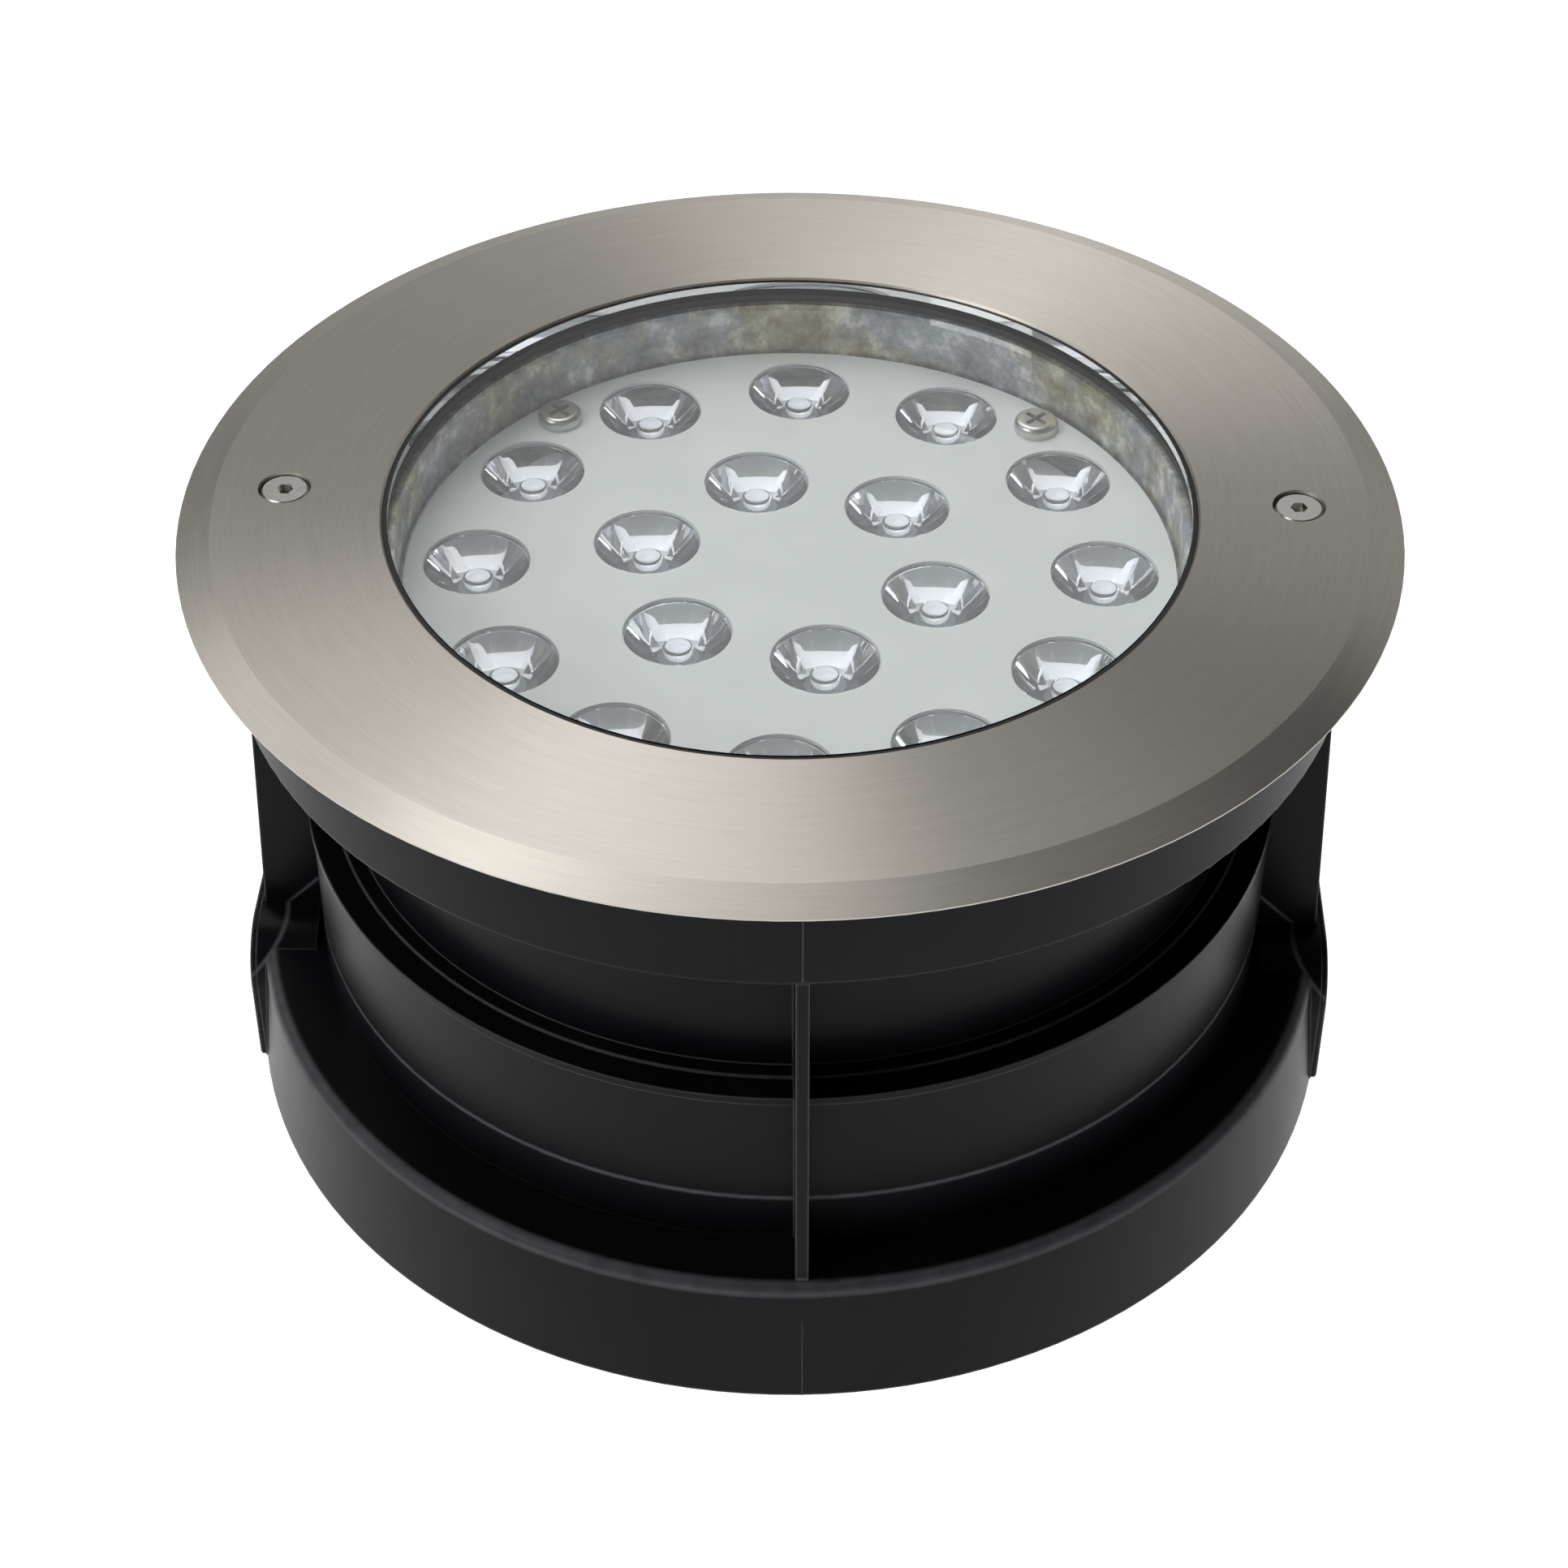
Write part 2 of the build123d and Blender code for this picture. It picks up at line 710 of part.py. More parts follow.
with BuildPart() as lamp_body:
    revolve(
        section(
            (seat_radius, rim),
            (flange_radius, rim),
            (flange_radius, flange_bottom),
            (shoulder_radius, flange_bottom),
            (shoulder_radius, shoulder_bottom),
            (body_radius, shoulder_bottom - shoulder_cone),
            (body_radius, floor_bottom),
            (0, floor_bottom),
            (0, floor_top),
            (cavity_radius, floor_top),
            (cavity_radius, seat_height),
            (seat_radius, seat_height),
        ),
        axis=Axis.Z,
    )
    # Driver bay with its flange
    revolve(ring_section(bay_radius, bay_outer, cover_top, floor_bottom + bite), axis=Axis.Z)
    revolve(ring_section(bay_radius, cover_radius, cover_top, fin_bottom), axis=Axis.Z)
    with BuildSketch(Plane.XY.offset(cover_top)):
        with cover_screw_places:
            Circle(cover_boss_radius)
    extrude(amount=cover_boss_height)
    with PolarLocations(0, fin_count, start_angle=180 / fin_count):
        add(fin.part)
    # Groove for the cover seal
    groove = seal_half + seal_groove_play
    revolve(
        ring_section(seal_circle - groove, seal_circle + groove, cover_top, cover_top + 2 * seal_half + snug),
        axis=Axis.Z,
        mode=Mode.SUBTRACT,
    )
    with BuildSketch(Plane.XY.offset(cover_top)):
        with cover_screw_places:
            Circle(cover_screw_radius + thread_gap)
    extrude(amount=cover_boss_height - 2 * bite, mode=Mode.SUBTRACT)
    # Holes for trim screws and studs
    with BuildSketch(Plane.XY.offset(flange_bottom)):
        with screw_places:
            Circle(screw_radius + bolt_gap)
        with stud_places:
            Circle(stud_radius + bolt_gap)
    extrude(amount=flange_thickness, mode=Mode.SUBTRACT)
    with BuildSketch(Plane.XY.offset(seal_seat)):
        with screw_places:
            Circle(screw_head_radius + recess_play)
    extrude(amount=rim - seal_seat, mode=Mode.SUBTRACT)
    # Tapped holes in the floor, and the way through for the leads
    with BuildSketch(Plane.XY.offset(floor_top)):
        with board_screw_places:
            Circle(small_screw_radius + thread_gap)
        with plate_screw_places:
            Circle(standoff_pin_radius + thread_gap)
    extrude(amount=-standoff_pin_length - snug, mode=Mode.SUBTRACT)
    with BuildSketch(Plane.XY.offset(floor_bottom)):
        with bracket_screw_places:
            Circle(small_screw_radius + thread_gap)
    extrude(amount=small_screw_grip + snug, mode=Mode.SUBTRACT)
    with BuildSketch(Plane.XY.offset(floor_bottom)):
        with Locations((lead_x, lead_y)):
            Circle(lead_hole)
    extrude(amount=floor_thickness, mode=Mode.SUBTRACT)
lamp_body.part.label = "lamp_body"
export_step(lamp_body.part, "parts/lamp_body.step")

# ---------------------------------------------------------------- light unit

with BuildPart() as thermal_pad:
    with BuildSketch(Plane.XY.offset(floor_top)):
        Circle(pad_radius)
        with board_screw_places:
            Circle(small_screw_radius + bolt_gap, mode=Mode.SUBTRACT)
        with Locations((lead_x, lead_y)):
            Circle(lead_hole, mode=Mode.SUBTRACT)
    extrude(amount=pad_thickness)
thermal_pad.part.label = "thermal_pad"
export_step(thermal_pad.part, "parts/thermal_pad.step")

solder_x = lead_x + lead_tail - solder_length / 2

with BuildPart() as led_board:
    with BuildSketch(Plane.XY.offset(board_bottom)):
        Circle(board_radius)
        with plate_screw_places:
            Circle(standoff_width / sqrt(3) + bolt_gap, mode=Mode.SUBTRACT)
        with board_screw_places:
            Circle(small_screw_radius + bolt_gap, mode=Mode.SUBTRACT)
        with Locations((lead_x, lead_y)):
            Circle(lead_hole, mode=Mode.SUBTRACT)
    extrude(amount=board_thickness)
    # Solder pads where the leads end
    with BuildSketch(Plane.XY.offset(board_top)):
        for way in (-0.5, 0.5):
            with Locations((solder_x, lead_y + way * lead_spacing)):
                Rectangle(solder_length, 2 * lead_radius)
    extrude(amount=solder_height)
led_board.part.label = "led_board"
export_step(led_board.part, "parts/led_board.step")

with BuildPart() as led_emitters:
    with BuildSketch(Plane.XY.offset(board_top)):
        with outer_places:
            Rectangle(chip_width, chip_width)
        with inner_places:
            Rectangle(chip_width, chip_width)
    extrude(amount=chip_height)
    with BuildSketch(Plane.XY.offset(board_top + chip_height)):
        with outer_places:
            Circle(die_radius)
        with inner_places:
            Circle(die_radius)
    extrude(amount=die_height)
led_emitters.part.label = "led_emitters"
export_step(led_emitters.part, "parts/led_emitters.step")

with BuildPart() as board_screws:
    with BuildSketch(Plane.XY.offset(board_top)):
        with board_screw_places:
            Circle(small_head_radius)
    extrude(amount=small_head_height)
    with BuildSketch(Plane.XY.offset(floor_top - small_screw_grip)):
        with board_screw_places:
            Circle(small_screw_radius)
    extrude(amount=board_top - floor_top + small_screw_grip)
board_screws.part.label = "board_screws"
export_step(board_screws.part, "parts/board_screws.step")

# A collimating lens: a bowl that swells from its foot to a flat rim, with a pocket over
# the emitter
bowl_top = (lens_radius - lens_rim_step, lens_height - lens_rim)
bowl_width = bowl_top[0] - lens_foot_radius
bowl_middle = (lens_foot_radius + bowl_width / 2 + bowl_width * lens_swell, bowl_top[1] / 2)
pocket_crown = lens_pocket_depth - lens_pocket_crown

with BuildPart() as lens:
    with BuildSketch(Plane.XZ):
        with BuildLine():
            Polyline((lens_pocket_radius, 0), (lens_foot_radius, 0))
            ThreePointArc((lens_foot_radius, 0), bowl_middle, bowl_top)
            Polyline(
                bowl_top,
                (lens_radius, bowl_top[1]),
                (lens_radius, lens_height),
                (0, lens_height),
                (0, pocket_crown),
                (lens_pocket_radius, lens_pocket_depth),
                (lens_pocket_radius, 0),
            )
        make_face()
    revolve(axis=Axis.Z)

lens_rings = (("outer", outer_places), ("inner", inner_places))
for ring_name, places in lens_rings:
    for number, place in enumerate(places.locations, start=1):
        seat = Location((place.position.X, place.position.Y, board_top))
        with BuildPart() as seated_lens:
            with Locations(seat):
                add(lens.part)
        seated_lens.part.label = f"lens_{ring_name}_{number:02d}"
        export_step(seated_lens.part, f"parts/lens_{ring_name}_{number:02d}.step")

with BuildPart() as led_cover_plate:
    with BuildSketch(Plane.XY.offset(plate_bottom)):
        Circle(plate_radius)
        with outer_places:
            Circle(lens_hole, mode=Mode.SUBTRACT)
        with inner_places:
            Circle(lens_hole, mode=Mode.SUBTRACT)
        with plate_screw_places:
            Circle(plate_screw_radius + bolt_gap, mode=Mode.SUBTRACT)
    extrude(amount=plate_thickness)
led_cover_plate.part.label = "led_cover_plate"
export_step(led_cover_plate.part, "parts/led_cover_plate.step")

with BuildPart() as plate_standoffs:
    with BuildSketch(Plane.XY.offset(floor_top)):
        with plate_screw_places:
            RegularPolygon(standoff_width / 2, 6, major_radius=False)
    extrude(amount=plate_bottom - floor_top)
    with BuildSketch(Plane.XY.offset(plate_bottom)):
        with plate_screw_places:
            Circle(plate_screw_radius + thread_gap)
    extrude(amount=-plate_screw_length, mode=Mode.SUBTRACT)
    with BuildSketch(Plane.XY.offset(floor_top)):
        with plate_screw_places:
            Circle(standoff_pin_radius)
    extrude(amount=-standoff_pin_length)
plate_standoffs.part.label = "plate_standoffs"
export_step(plate_standoffs.part, "parts/plate_standoffs.step")

with BuildPart() as plate_screws:
    with BuildSketch(Plane.XY.offset(plate_top)):
        with plate_screw_places:
            Circle(plate_head_radius)
    extrude(amount=plate_head_height)
    fillet(plate_screws.faces().group_by(Axis.Z)[-1].edges(), plate_head_round)
    with BuildSketch(Plane.XY.offset(plate_top + snug - plate_screw_length)):
        with plate_screw_places:
            Circle(plate_screw_radius)
    extrude(amount=plate_screw_length - snug)
    # Cross recess
    with BuildSketch(Plane.XY.offset(plate_top + plate_head_height)):
        with plate_screw_places:
            Rectangle(cross_length, cross_width)
            Rectangle(cross_width, cross_length)
    extrude(amount=-cross_depth, taper=cross_taper, mode=Mode.SUBTRACT)
plate_screws.part.label = "plate_screws"
export_step(plate_screws.part, "parts/plate_screws.step")

# ---------------------------------------------------------------- driver bay

driver_top = bracket_bottom
driver_bottom = driver_top - driver_height
tab_x = driver_length / 2 + snug

with BuildPart() as driver_bracket:
    with BuildSketch(Plane.XY.offset(bracket_bottom)):
        RectangleRounded(bracket_length, bracket_width, driver_round)
        with bracket_screw_places:
            Circle(small_screw_radius + bolt_gap, mode=Mode.SUBTRACT)
    extrude(amount=bracket_thickness)
    # Tabs that grip the driver's ends
    with BuildSketch(Plane.XY.offset(bracket_bottom)):
        for side in (1, -1):
            with Locations((side * (tab_x + bracket_thickness / 2), -bracket_width / 2 + bracket_tab_width / 2)):
                Rectangle(bracket_thickness, bracket_tab_width)
    extrude(amount=-bracket_tab_depth)
driver_bracket.part.label = "driver_bracket"
export_step(driver_bracket.part, "parts/driver_bracket.step")

with BuildPart() as bracket_screws:
    with BuildSketch(Plane.XY.offset(bracket_bottom)):
        with bracket_screw_places:
            Circle(small_head_radius)
    extrude(amount=-small_head_height)
    with BuildSketch(Plane.XY.offset(bracket_bottom)):
        with bracket_screw_places:
            Circle(small_screw_radius)
    extrude(amount=bracket_thickness + small_screw_grip)
bracket_screws.part.label = "bracket_screws"
export_step(bracket_screws.part, "parts/bracket_screws.step")

with BuildPart() as led_driver:
    with BuildSketch(Plane.XY.offset(driver_bottom)):
        RectangleRounded(driver_length, driver_width, driver_round)
    extrude(amount=driver_height)
    chamfer(led_driver.faces().sort_by(Axis.Z)[0].edges(), driver_chamfer)
led_driver.part.label = "led_driver"
export_step(led_driver.part, "parts/led_driver.step")

block_y = driver_width / 2 + block_gap + block_width / 2

with BuildPart() as terminal_block:
    with BuildSketch(Plane.XY.offset(floor_bottom)):
        with Locations((0, block_y)):
            Rectangle(block_length, block_width)
    extrude(amount=-block_height)
    # Wire ways across the block and screw wells from beneath
    with BuildSketch(Plane.XZ.offset(-block_y - block_width / 2)):
        with Locations((0, floor_bottom - block_height / 2)):
            with GridLocations(block_pitch, 1, block_ways, 1):
                Circle(block_hole)
    extrude(amount=block_width, mode=Mode.SUBTRACT)
    with BuildSketch(Plane.XY.offset(floor_bottom - block_height)):
        with Locations((0, block_y)):
            with GridLocations(block_pitch, block_row, block_ways, 2):
                Circle(block_hole)
    extrude(amount=block_height / 2 - block_hole - block_web, mode=Mode.SUBTRACT)
terminal_block.part.label = "terminal_block"
export_step(terminal_block.part, "parts/terminal_block.step")

lead_low = floor_bottom - lead_drop
lead_high = board_top + solder_height + lead_radius

with BuildPart() as driver_leads:
    for way in (-0.5, 0.5):
        lead_place = lead_y + way * lead_spacing
        with BuildLine() as route:
            FilletPolyline(
                (driver_length / 2, lead_place, lead_low),
                (lead_x, lead_place, lead_low),
                (lead_x, lead_place, lead_high),
                (lead_x + lead_tail, lead_place, lead_high),
                radius=lead_bend,
            )
        with BuildSketch(Plane(origin=route.line @ 0, z_dir=route.line % 0)):
            Circle(lead_radius)
        sweep(path=route.line)
driver_leads.part.label = "driver_leads"
export_step(driver_leads.part, "parts/driver_leads.step")

# ---------------------------------------------------------------- bay cover

spigot_outer = bay_radius - snug

with BuildPart() as bay_cover:
    with BuildSketch(Plane.XY.offset(cover_bottom)):
        Circle(cover_radius)
    extrude(amount=cover_thickness)
    revolve(
        ring_section(spigot_outer - cover_spigot_wall, spigot_outer, cover_top - bite, cover_top + cover_spigot_height),
        axis=Axis.Z,
    )
    with BuildSketch(Plane.XY.offset(cover_bottom)):
        Circle(gland_thread_radius + bolt_gap)
        with Locations((vent_offset, 0)):
            Circle(vent_thread_radius + bolt_gap)
        with cover_screw_places:
            Circle(cover_screw_radius + bolt_gap)
    extrude(amount=cover_thickness, mode=Mode.SUBTRACT)
    chamfer(bay_cover.faces().sort_by(Axis.Z)[0].outer_wire().edges(), cover_chamfer)
bay_cover.part.label = "bay_cover"
export_step(bay_cover.part, "parts/bay_cover.step")

with BuildPart() as cover_seal:
    revolve(
        ring_section(seal_circle - seal_half, seal_circle + seal_half, cover_top, cover_top + 2 * seal_half),
        axis=Axis.Z,
    )
cover_seal.part.label = "cover_seal"
export_step(cover_seal.part, "parts/cover_seal.step")

with BuildPart() as cover_screws:
    with BuildSketch(Plane.XY.offset(cover_bottom)):
        with cover_screw_places:
            Circle(cover_head_radius)
    extrude(amount=-cover_head_height)
    with BuildSketch(Plane.XY.offset(cover_bottom)):
        with cover_screw_places:
            Circle(cover_screw_radius)
    extrude(amount=cover_screw_length)
    with BuildSketch(Plane.XY.offset(cover_bottom - cover_head_height)):
        with cover_screw_places:
            RegularPolygon(screw_socket / 2, 6, major_radius=False)
    extrude(amount=cover_socket_depth, mode=Mode.SUBTRACT)
cover_screws.part.label = "cover_screws"
export_step(cover_screws.part, "parts/cover_screws.step")

# ---------------------------------------------------------------- cable gland and vent

gland_top = cover_top + locknut_height + gland_tip
gland_seal_top = gland_hex_bottom - gland_seal_start
gland_seal_bottom = dome_bottom + dome_lip

with BuildPart() as gland_body:
    with BuildSketch(Plane.XY.offset(gland_hex_bottom)):
        RegularPolygon(gland_hex / 2, 6, major_radius=False)
    extrude(amount=gland_hex_height)
    with BuildSketch(Plane.XY.offset(cover_bottom)):
        Circle(gland_thread_radius)
    extrude(amount=gland_top - cover_bottom)
    with BuildSketch(Plane.XY.offset(gland_hex_bottom)):
        Circle(gland_tail_radius)
    extrude(amount=-gland_tail_length)
    with BuildSketch(Plane.XY.offset(gland_tail_bottom)):
        Circle(gland_bore)
    extrude(amount=gland_top - gland_tail_bottom, mode=Mode.SUBTRACT)
gland_body.part.label = "gland_body"
export_step(gland_body.part, "parts/gland_body.step")

with BuildPart() as gland_locknut:
    with BuildSketch(Plane.XY.offset(cover_top)):
        RegularPolygon(gland_hex / 2, 6, major_radius=False)
        Circle(gland_thread_radius + thread_gap, mode=Mode.SUBTRACT)
    extrude(amount=locknut_height)
gland_locknut.part.label = "gland_locknut"
export_step(gland_locknut.part, "parts/gland_locknut.step")

with BuildPart() as gland_seal:
    with BuildSketch(Plane.XY.offset(gland_seal_bottom)):
        Circle(gland_bore - snug)
        Circle(cable_radius, mode=Mode.SUBTRACT)
    extrude(amount=gland_seal_top - gland_seal_bottom)
gland_seal.part.label = "gland_seal"
export_step(gland_seal.part, "parts/gland_seal.step")

with BuildPart() as gland_nut:
    with BuildSketch(Plane.XY.offset(dome_top)):
        RegularPolygon(dome_hex / 2, 6, major_radius=False)
    extrude(amount=-dome_height)
    fillet(gland_nut.faces().sort_by(Axis.Z)[0].edges(), dome_round)
    with BuildSketch(Plane.XY.offset(dome_top)):
        Circle(gland_tail_radius + thread_gap)
    extrude(amount=dome_lip - dome_height, mode=Mode.SUBTRACT)
    with BuildSketch(Plane.XY.offset(dome_top)):
        Circle(dome_mouth)
    extrude(amount=-dome_height, mode=Mode.SUBTRACT)
gland_nut.part.label = "gland_nut"
export_step(gland_nut.part, "parts/gland_nut.step")

with BuildPart() as vent_plug:
    with BuildSketch(Plane.XY.offset(cover_bottom)):
        with Locations((vent_offset, 0)):
            Circle(vent_head_radius)
    extrude(amount=-vent_head_height)
    chamfer(vent_plug.faces().sort_by(Axis.Z)[0].edges(), vent_chamfer)
    with BuildSketch(Plane.XY.offset(cover_bottom)):
        with Locations((vent_offset, 0)):
            Circle(vent_thread_radius)
    extrude(amount=vent_thread_length)
    with BuildSketch(Plane.XY.offset(cover_bottom - vent_head_height)):
        with Locations((vent_offset, 0)):
            with PolarLocations(vent_hole_circle, vent_hole_count):
                Circle(vent_hole_radius)
    extrude(amount=vent_hole_depth, mode=Mode.SUBTRACT)
vent_plug.part.label = "vent_plug"
export_step(vent_plug.part, "parts/vent_plug.step")
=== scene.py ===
"""In-ground well light: finishes, small details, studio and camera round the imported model.

Everything is in metres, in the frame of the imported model: +Z is up, the sleeve stands on
Z = 0, +X runs through the right trim screw and -Y points to the front. Azimuths are in
degrees: 0 is to the right, 90 is behind and 270 is in front.
"""

import json
import math

import bmesh
import bpy
from mathutils import Matrix, Vector


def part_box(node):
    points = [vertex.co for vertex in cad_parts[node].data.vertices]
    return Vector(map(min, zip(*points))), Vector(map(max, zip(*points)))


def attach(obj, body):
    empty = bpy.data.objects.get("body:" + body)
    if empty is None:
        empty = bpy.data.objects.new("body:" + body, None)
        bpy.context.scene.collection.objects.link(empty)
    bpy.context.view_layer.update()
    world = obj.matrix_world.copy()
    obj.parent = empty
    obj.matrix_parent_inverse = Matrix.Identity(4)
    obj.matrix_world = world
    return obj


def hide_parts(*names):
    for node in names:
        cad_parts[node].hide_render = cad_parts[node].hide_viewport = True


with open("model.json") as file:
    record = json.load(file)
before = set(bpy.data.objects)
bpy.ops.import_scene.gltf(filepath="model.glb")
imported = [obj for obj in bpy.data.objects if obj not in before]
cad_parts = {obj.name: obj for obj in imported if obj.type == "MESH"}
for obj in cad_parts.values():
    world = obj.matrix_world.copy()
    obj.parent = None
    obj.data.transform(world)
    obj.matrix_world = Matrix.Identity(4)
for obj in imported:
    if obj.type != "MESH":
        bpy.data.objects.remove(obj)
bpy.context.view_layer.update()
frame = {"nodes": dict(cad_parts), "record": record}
nodes = frame["nodes"]
scene = bpy.context.scene

MM = 0.001
WHITE = (1, 1, 1, 1)


def directions(azimuth):
    """The level directions straight out at an azimuth and square to it."""
    turn = math.radians(azimuth)
    out = Vector((math.cos(turn), math.sin(turn), 0))
    side = Vector((-math.sin(turn), math.cos(turn), 0))
    return out, side


# ---------------------------------------------------------------- camera

PHOTO_SIDE = 1932               # pixels
FOCAL_PIXELS = 4188.3
SENSOR = 36.0                   # millimetres
CLIP_START = 0.01

CAMERA_DISTANCE = 0.6722
CAMERA_ELEVATION = 35.78        # degrees, as are those below
CAMERA_AZIMUTH = 1.85           # to the right of square on
CAMERA_PAN = 0.102
CAMERA_TILT = -4.641
CAMERA_ROLL = 0.036


def make_camera():
    """The photograph's view, aimed past the middle of the trim ring's lower edge."""
    ring_low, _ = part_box("trim_ring")
    target = Vector((0, 0, ring_low.z))
    rise, turn = math.radians(CAMERA_ELEVATION), math.radians(CAMERA_AZIMUTH)
    level = math.cos(rise)
    back = Vector((level * math.sin(turn), -level * math.cos(turn), math.sin(rise)))
    ahead = -back
    right = ahead.cross(Vector((0, 0, 1))).normalized()
    up = right.cross(ahead)
    basis = Matrix((right, up, -ahead)).transposed()
    aim = Matrix.Rotation(math.radians(CAMERA_PAN), 3, up)
    aim = Matrix.Rotation(math.radians(CAMERA_TILT), 3, aim @ right) @ aim
    aim = Matrix.Rotation(math.radians(CAMERA_ROLL), 3, aim @ ahead) @ aim
    data = bpy.data.cameras.new("camera")
    data.sensor_width = SENSOR
    data.lens = SENSOR * FOCAL_PIXELS / PHOTO_SIDE
    data.clip_start = CLIP_START
    camera = bpy.data.objects.new("camera", data)
    scene.collection.objects.link(camera)
    place = Matrix.Translation(target + back * CAMERA_DISTANCE)
    camera.matrix_world = place @ (aim @ basis).to_4x4()
    scene.camera = camera


make_camera()

# ---------------------------------------------------------------- node helpers

NOISE_RANGE = (0.3, 0.7)        # where most of a noise's values lie


def put(node, name, value):
    """Sets a node's input, given by name or number. A socket is linked to it."""
    socket = node.inputs[name]
    if isinstance(value, bpy.types.NodeSocket):
        node.id_data.links.new(value, socket)
    else:
        socket.default_value = value


def put_all(node, **inputs):
    """Sets several inputs by name, with _ for each space."""
    for name, value in inputs.items():
        put(node, name.replace("_", " "), value)


def material(name):
    """A new node material and its Principled shader."""
    made = bpy.data.materials.new(name)
    made.use_nodes = True
    return made, made.node_tree.nodes["Principled BSDF"]


class Nodes:
    """Short calls for building a node tree. Lengths are in metres."""

    def __init__(self, owner):
        self.tree = owner.node_tree

    def add(self, kind, **inputs):
        node = self.tree.nodes.new(kind)
        put_all(node, **inputs)
        return node

    def math(self, operation, *values):
        node = self.tree.nodes.new("ShaderNodeMath")
        node.operation = operation
        for index, value in enumerate(values):
            put(node, index, value)
        return node.outputs[0]

    def vector_math(self, operation, *vectors):
        """The node itself, because its result is a vector or a value."""
        node = self.tree.nodes.new("ShaderNodeVectorMath")
        node.operation = operation
        for index, vector in enumerate(vectors):
            put(node, index, vector)
        return node

    def place(self):
        """The point's own coordinates in the frame."""
        return self.add("ShaderNodeTexCoord").outputs["Object"]

    def polar(self):
        """The point's direction round the Z axis, its radius and its height."""
        split = self.add("ShaderNodeSeparateXYZ", Vector=self.place())
        flat = self.add("ShaderNodeCombineXYZ", X=split.outputs["X"], Y=split.outputs["Y"])
        direction = self.vector_math("NORMALIZE", flat.outputs[0]).outputs["Vector"]
        radius = self.vector_math("LENGTH", flat.outputs[0]).outputs["Value"]
        return direction, radius, split.outputs["Z"]

    def noise(self, pattern, vector=None):
        """Noise of a (scale, detail, roughness) pattern, over the frame or other coordinates."""
        scale, detail, roughness = pattern
        if vector is None:
            vector = self.place()
        node = self.add(
            "ShaderNodeTexNoise", Vector=vector, Scale=scale, Detail=detail, Roughness=roughness
        )
        return node.outputs["Fac"]

    def ramp(self, value, *stops):
        """A colour ramp through (position, colour) stops."""
        node = self.tree.nodes.new("ShaderNodeValToRGB")
        self.tree.links.new(value, node.inputs[0])
        elements = node.color_ramp.elements
        while len(elements) < len(stops):
            elements.new(0.5)
        for element, (position, colour) in zip(elements, stops):
            element.position = position
            element.color = (*colour, 1)
        return node.outputs["Color"]

    def tones(self, value, low, high):
        """A colour that follows a noise from low to high."""
        return self.ramp(value, *zip(NOISE_RANGE, (low, high)))

    def mix(self, amount, low, high):
        """A colour between low and high, which are colours or colour sockets."""
        node = self.tree.nodes.new("ShaderNodeMix")
        node.data_type = "RGBA"
        factor_input, low_input, high_input, colour_output = 0, 6, 7, 2
        put(node, factor_input, amount)
        put(node, low_input, low)
        put(node, high_input, high)
        return node.outputs[colour_output]

    def spread(self, value, low, high):
        """Maps 0..1 to low..high."""
        node = self.add("ShaderNodeMapRange", Value=value, To_Min=low, To_Max=high)
        return node.outputs["Result"]

    def round_lines(self, around, across):
        """Coordinates for marks round the Z axis: around a radian and across a metre."""
        direction, radius, height = self.polar()
        turned = self.add("ShaderNodeSeparateXYZ", Vector=direction)
        joined = self.add(
            "ShaderNodeCombineXYZ",
            X=self.math("MULTIPLY", turned.outputs["X"], around),
            Y=self.math("MULTIPLY", turned.outputs["Y"], around),
            Z=self.math("MULTIPLY", self.math("ADD", radius, height), across),
        )
        return joined.outputs[0]

    def bump(self, height, distance, **normal):
        node = self.add("ShaderNodeBump", Height=height, Distance=distance, **normal)
        return node.outputs["Normal"]


# ---------------------------------------------------------------- studio

FLOOR_RADIUS = 6.0
FLOOR_SEGMENTS = 96
FLOOR_TONE = 0.3
FLOOR_ROUGHNESS = 0.9
FLOOR_GLOSS = 0.1
FLOOR_GLOW = 1.12               # a light table, so that the floor comes out white

WALL_LIGHT = 0.20               # white walls round the studio, under a dark ceiling
CEILING_LIGHT = 0.02
WALL_TOP = (0.06, 0.34)         # sines of the elevations between which the walls fade

LIGHT_AIM = Vector((0, 0, 0.1))
LIGHT_DISTANCE = 2.2
LIGHT_SIZE = 1.1
LIGHTS = (                      # name, azimuth, elevation, watts
    ("key_high", 120, 70, 10.6),
    ("key_low", 135, 45, 5.6),
    ("back_low", 90, 45, 2.5),
    ("back_high", 60, 70, 1.1),
    ("right_back", 45, 20, 1.3),
    ("right_front", 315, 20, 0.5),
    ("left_front", 212, 38, 12.6),
    ("left", 180, 20, 2.8),
)


def make_floor():
    mesh = bpy.data.meshes.new("floor")
    form = bmesh.new()
    bmesh.ops.create_circle(form, cap_ends=True, radius=FLOOR_RADIUS, segments=FLOOR_SEGMENTS)
    form.to_mesh(mesh)
    form.free()
    floor = bpy.data.objects.new("floor", mesh)
    scene.collection.objects.link(floor)
    finish, shader = material("floor_paper")
    put_all(
        shader,
        Base_Color=(FLOOR_TONE, FLOOR_TONE, FLOOR_TONE, 1),
        Roughness=FLOOR_ROUGHNESS,
        Specular_IOR_Level=FLOOR_GLOSS,
        Emission_Color=WHITE,
        Emission_Strength=FLOOR_GLOW,
    )
    mesh.materials.append(finish)


